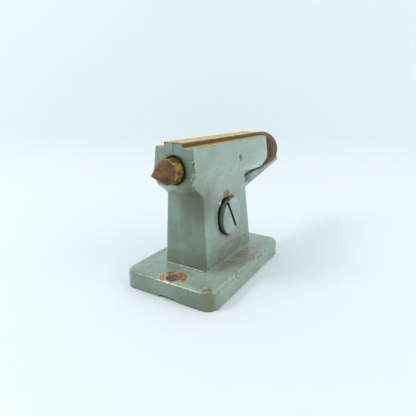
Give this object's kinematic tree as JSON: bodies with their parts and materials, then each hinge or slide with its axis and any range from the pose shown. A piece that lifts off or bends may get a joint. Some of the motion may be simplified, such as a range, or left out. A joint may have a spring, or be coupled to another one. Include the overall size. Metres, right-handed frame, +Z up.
{
  "type": "tailstock",
  "caption": "Small cast tailstock for grinding or indexing between centres: spring-loaded 60 degree dead centre, retracting lever, rear cap and a dovetail rail on top.",
  "frame": {"origin": "middle of the base's underside, straight below the quill's axis", "axes": "+Z up, +Y to the rear along the quill, +X to the side with the pivot screw's head; the centre points along -Y"},
  "size_m": [0.0876, 0.2441, 0.1226],
  "materials": {
    "body_paint": "thick brushed gloss enamel over rough cast iron",
    "bare_steel": "ground",
    "rusty_steel": "ground, with a thin film of brown rust",
    "spring_steel": "oiled wire",
    "bronze": "bored and faced",
    "cap_steel": "turned, browned with rust",
    "lever_steel": "worn grey paint on flat steel",
    "screw_steel": "blackened"
  },
  "bodies": {
    "casting": {"tailstock_body": "body_paint", "rear_bush": "bronze", "pivot_screw": "body_paint", "lever_spacers": "bare_steel", "key_screws": "screw_steel"},
    "quill": {"quill": "bare_steel", "dead_centre": "rusty_steel"},
    "lever": {"retracting_lever": "lever_steel", "lever_bush": "bronze"},
    "cap": {"rear_cap": "cap_steel", "adjusting_screw": "bare_steel", "cap_screw": "screw_steel", "cap_washer": "screw_steel"},
    "seat": {"spring_seat": "bare_steel", "quill_spring": "spring_steel"}
  },
  "joints": [
    {"name": "quill_slide", "type": "slide", "parent": "casting", "child": "quill", "axis": [0, 1, 0], "range_m": [0, 0.01], "stiffness_N_per_m": 2500, "springref_m": -0.012, "deforming": ["quill_spring"]},
    {"name": "lever_turn", "type": "hinge", "parent": "casting", "child": "lever", "pos_m": [0, -0.0015, 0.0555], "axis": [-1, 0, 0], "range_deg": [0, 15.1]},
    {"name": "cap_turn", "type": "hinge", "parent": "casting", "child": "cap", "pos_m": [0, 0.1, 0.1016], "axis": [0, 1, 0], "range_deg": [-720, 720]},
    {"name": "seat_slide", "type": "slide", "parent": "casting", "child": "seat", "axis": [0, 1, 0], "range_m": [-0.0026, 0.0026]}
  ],
  "couplings": [
    {"joint": "lever_turn", "follows": "quill_slide", "rad_per_m": 26.11},
    {"joint": "seat_slide", "follows": "cap_turn", "m_per_rad": -0.00019894}
  ]
}
